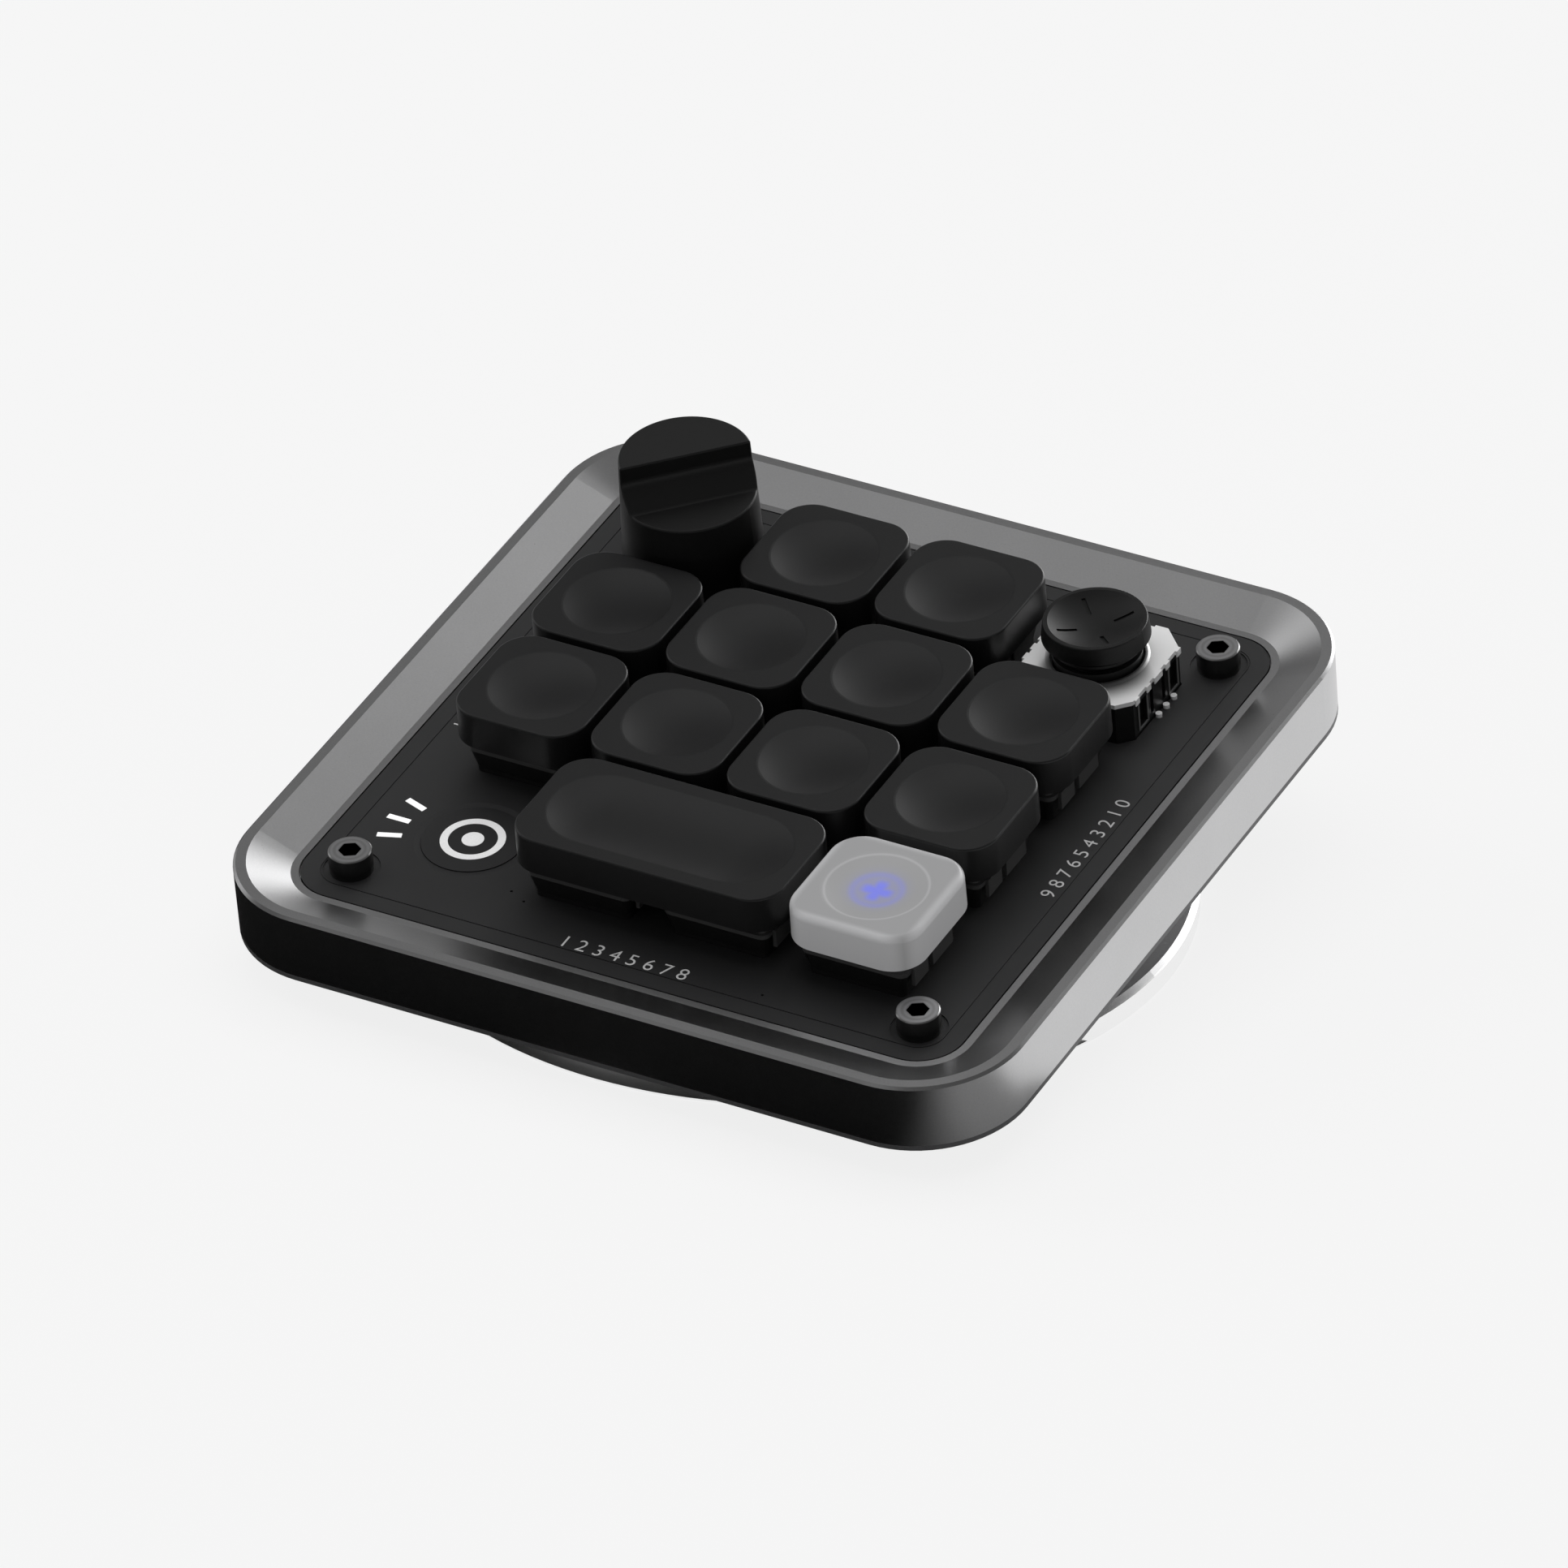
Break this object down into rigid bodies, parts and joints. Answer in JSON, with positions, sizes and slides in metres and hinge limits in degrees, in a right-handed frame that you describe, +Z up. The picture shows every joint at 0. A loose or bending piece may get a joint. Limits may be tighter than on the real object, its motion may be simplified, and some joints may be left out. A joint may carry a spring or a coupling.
{
  "type": "macro keypad",
  "caption": "Desk macro keypad with dished keys, a push-and-turn knob, a thumb joystick and a touch pad in a dished metal case that leans on a round wedge foot.",
  "frame": {"origin": "centre of the round foot's underside, on the desk", "axes": "+Z up from the desk, +X to the user's right, +Y away from the user; the case leans back 8.19 degrees about X"},
  "size_m": [0.1076, 0.1079, 0.0441],
  "materials": {
    "case metal": "satin, dark grey",
    "plate paint": "fine matte",
    "cover metal": "matte",
    "dark screws": "satin",
    "board": "satin",
    "board parts": "satin",
    "socket steel": "satin",
    "switch plastic": "satin",
    "switch top plastic": "satin",
    "touch surface": "satin",
    "light bars": "clear white",
    "encoder plastic": "matte",
    "joystick plastic": "satin",
    "joystick steel": "bright",
    "foot metal": "bright edge, satin top",
    "foot rubber": "matte",
    "wedge paint": "matte",
    "flat screws": "satin",
    "knob metal": "black, satin",
    "shaft metal": "satin",
    "plunger brass": "satin",
    "gimbal plastic": "satin",
    "stick plastic": "satin",
    "thumb rubber": "satin",
    "key plastic": "fine matte",
    "frosted key plastic": "frosted, lit from below",
    "stem plastic": "satin",
    "spring steel": "bright"
  },
  "bodies": {
    "base": {"case_frame": "case metal", "face_plate": "plate paint", "bottom_cover": "cover metal", "plate_screws": "dark screws", "main_board": "board", "board_parts": "board parts", "usb_socket": "socket steel", "switch_bases": "switch plastic", "switch_tops": "switch top plastic", "touch_disc": "touch surface", "indicator_bars": "light bars", "encoder_body": "encoder plastic", "joystick_housing": "joystick plastic", "joystick_cover": "joystick steel", "foot_base": "foot metal", "foot_pad": "foot rubber", "foot_wedge": "wedge paint", "flat_screws": "flat screws", "spring_r1c2": "spring steel", "spring_r1c3": "spring steel", "spring_r2c1": "spring steel", "spring_r2c2": "spring steel", "spring_r2c3": "spring steel", "spring_r2c4": "spring steel", "spring_r3c1": "spring steel", "spring_r3c2": "spring steel", "spring_r3c3": "spring steel", "spring_r3c4": "spring steel", "spring_r4c4": "spring steel", "springs_wide": "spring steel"},
    "key_r1c2": {"keycap_r1c2": "key plastic", "stem_r1c2": "stem plastic"},
    "key_r1c3": {"keycap_r1c3": "key plastic", "stem_r1c3": "stem plastic"},
    "key_r2c1": {"keycap_r2c1": "key plastic", "stem_r2c1": "stem plastic"},
    "key_r2c2": {"keycap_r2c2": "key plastic", "stem_r2c2": "stem plastic"},
    "key_r2c3": {"keycap_r2c3": "key plastic", "stem_r2c3": "stem plastic"},
    "key_r2c4": {"keycap_r2c4": "key plastic", "stem_r2c4": "stem plastic"},
    "key_r3c1": {"keycap_r3c1": "key plastic", "stem_r3c1": "stem plastic"},
    "key_r3c2": {"keycap_r3c2": "key plastic", "stem_r3c2": "stem plastic"},
    "key_r3c3": {"keycap_r3c3": "key plastic", "stem_r3c3": "stem plastic"},
    "key_r3c4": {"keycap_r3c4": "key plastic", "stem_r3c4": "stem plastic"},
    "key_r4c4": {"keycap_r4c4": "frosted key plastic", "stem_r4c4": "stem plastic"},
    "key_wide": {"keycap_wide": "key plastic", "stems_wide": "stem plastic"},
    "knob_plunger": {"encoder_plunger": "plunger brass"},
    "knob": {"knob": "knob metal", "encoder_shaft": "shaft metal"},
    "gimbal": {"joystick_gimbal": "gimbal plastic"},
    "stick": {"joystick_stick": "stick plastic", "joystick_cap": "thumb rubber"}
  },
  "joints": [
    {"name": "press_r1c2", "type": "slide", "parent": "base", "child": "key_r1c2", "axis": [0, 0.1425, -0.9898], "range_m": [0, 0.003], "stiffness_N_per_m": 80, "springref_m": -0.004, "deforming": ["spring_r1c2"]},
    {"name": "press_r1c3", "type": "slide", "parent": "base", "child": "key_r1c3", "axis": [0, 0.1425, -0.9898], "range_m": [0, 0.003], "stiffness_N_per_m": 80, "springref_m": -0.004, "deforming": ["spring_r1c3"]},
    {"name": "press_r2c1", "type": "slide", "parent": "base", "child": "key_r2c1", "axis": [0, 0.1425, -0.9898], "range_m": [0, 0.003], "stiffness_N_per_m": 80, "springref_m": -0.004, "deforming": ["spring_r2c1"]},
    {"name": "press_r2c2", "type": "slide", "parent": "base", "child": "key_r2c2", "axis": [0, 0.1425, -0.9898], "range_m": [0, 0.003], "stiffness_N_per_m": 80, "springref_m": -0.004, "deforming": ["spring_r2c2"]},
    {"name": "press_r2c3", "type": "slide", "parent": "base", "child": "key_r2c3", "axis": [0, 0.1425, -0.9898], "range_m": [0, 0.003], "stiffness_N_per_m": 80, "springref_m": -0.004, "deforming": ["spring_r2c3"]},
    {"name": "press_r2c4", "type": "slide", "parent": "base", "child": "key_r2c4", "axis": [0, 0.1425, -0.9898], "range_m": [0, 0.003], "stiffness_N_per_m": 80, "springref_m": -0.004, "deforming": ["spring_r2c4"]},
    {"name": "press_r3c1", "type": "slide", "parent": "base", "child": "key_r3c1", "axis": [0, 0.1425, -0.9898], "range_m": [0, 0.003], "stiffness_N_per_m": 80, "springref_m": -0.004, "deforming": ["spring_r3c1"]},
    {"name": "press_r3c2", "type": "slide", "parent": "base", "child": "key_r3c2", "axis": [0, 0.1425, -0.9898], "range_m": [0, 0.003], "stiffness_N_per_m": 80, "springref_m": -0.004, "deforming": ["spring_r3c2"]},
    {"name": "press_r3c3", "type": "slide", "parent": "base", "child": "key_r3c3", "axis": [0, 0.1425, -0.9898], "range_m": [0, 0.003], "stiffness_N_per_m": 80, "springref_m": -0.004, "deforming": ["spring_r3c3"]},
    {"name": "press_r3c4", "type": "slide", "parent": "base", "child": "key_r3c4", "axis": [0, 0.1425, -0.9898], "range_m": [0, 0.003], "stiffness_N_per_m": 80, "springref_m": -0.004, "deforming": ["spring_r3c4"]},
    {"name": "press_r4c4", "type": "slide", "parent": "base", "child": "key_r4c4", "axis": [0, 0.1425, -0.9898], "range_m": [0, 0.003], "stiffness_N_per_m": 80, "springref_m": -0.004, "deforming": ["spring_r4c4"]},
    {"name": "press_wide", "type": "slide", "parent": "base", "child": "key_wide", "axis": [0, 0.1425, -0.9898], "range_m": [0, 0.003], "stiffness_N_per_m": 160, "springref_m": -0.004, "deforming": ["springs_wide"]},
    {"name": "knob_push", "type": "slide", "parent": "base", "child": "knob_plunger", "axis": [0, 0.1425, -0.9898], "range_m": [0, 0.0005], "stiffness_N_per_m": 600, "springref_m": -0.002},
    {"name": "knob_turn", "type": "hinge", "parent": "knob_plunger", "child": "knob", "pos_m": [-0.02857, 0.02665, 0.02624], "axis": [0, -0.1425, 0.9898], "continuous": true},
    {"name": "stick_front_back", "type": "hinge", "parent": "base", "child": "gimbal", "pos_m": [0.02857, 0.02679, 0.02525], "axis": [1, 0, 0], "range_deg": [-12, 12], "stiffness_Nm_per_rad": 0.03},
    {"name": "stick_left_right", "type": "hinge", "parent": "gimbal", "child": "stick", "pos_m": [0.02857, 0.02679, 0.02525], "axis": [0, 0.9898, 0.1425], "range_deg": [-12, 12], "stiffness_Nm_per_rad": 0.03}
  ]
}
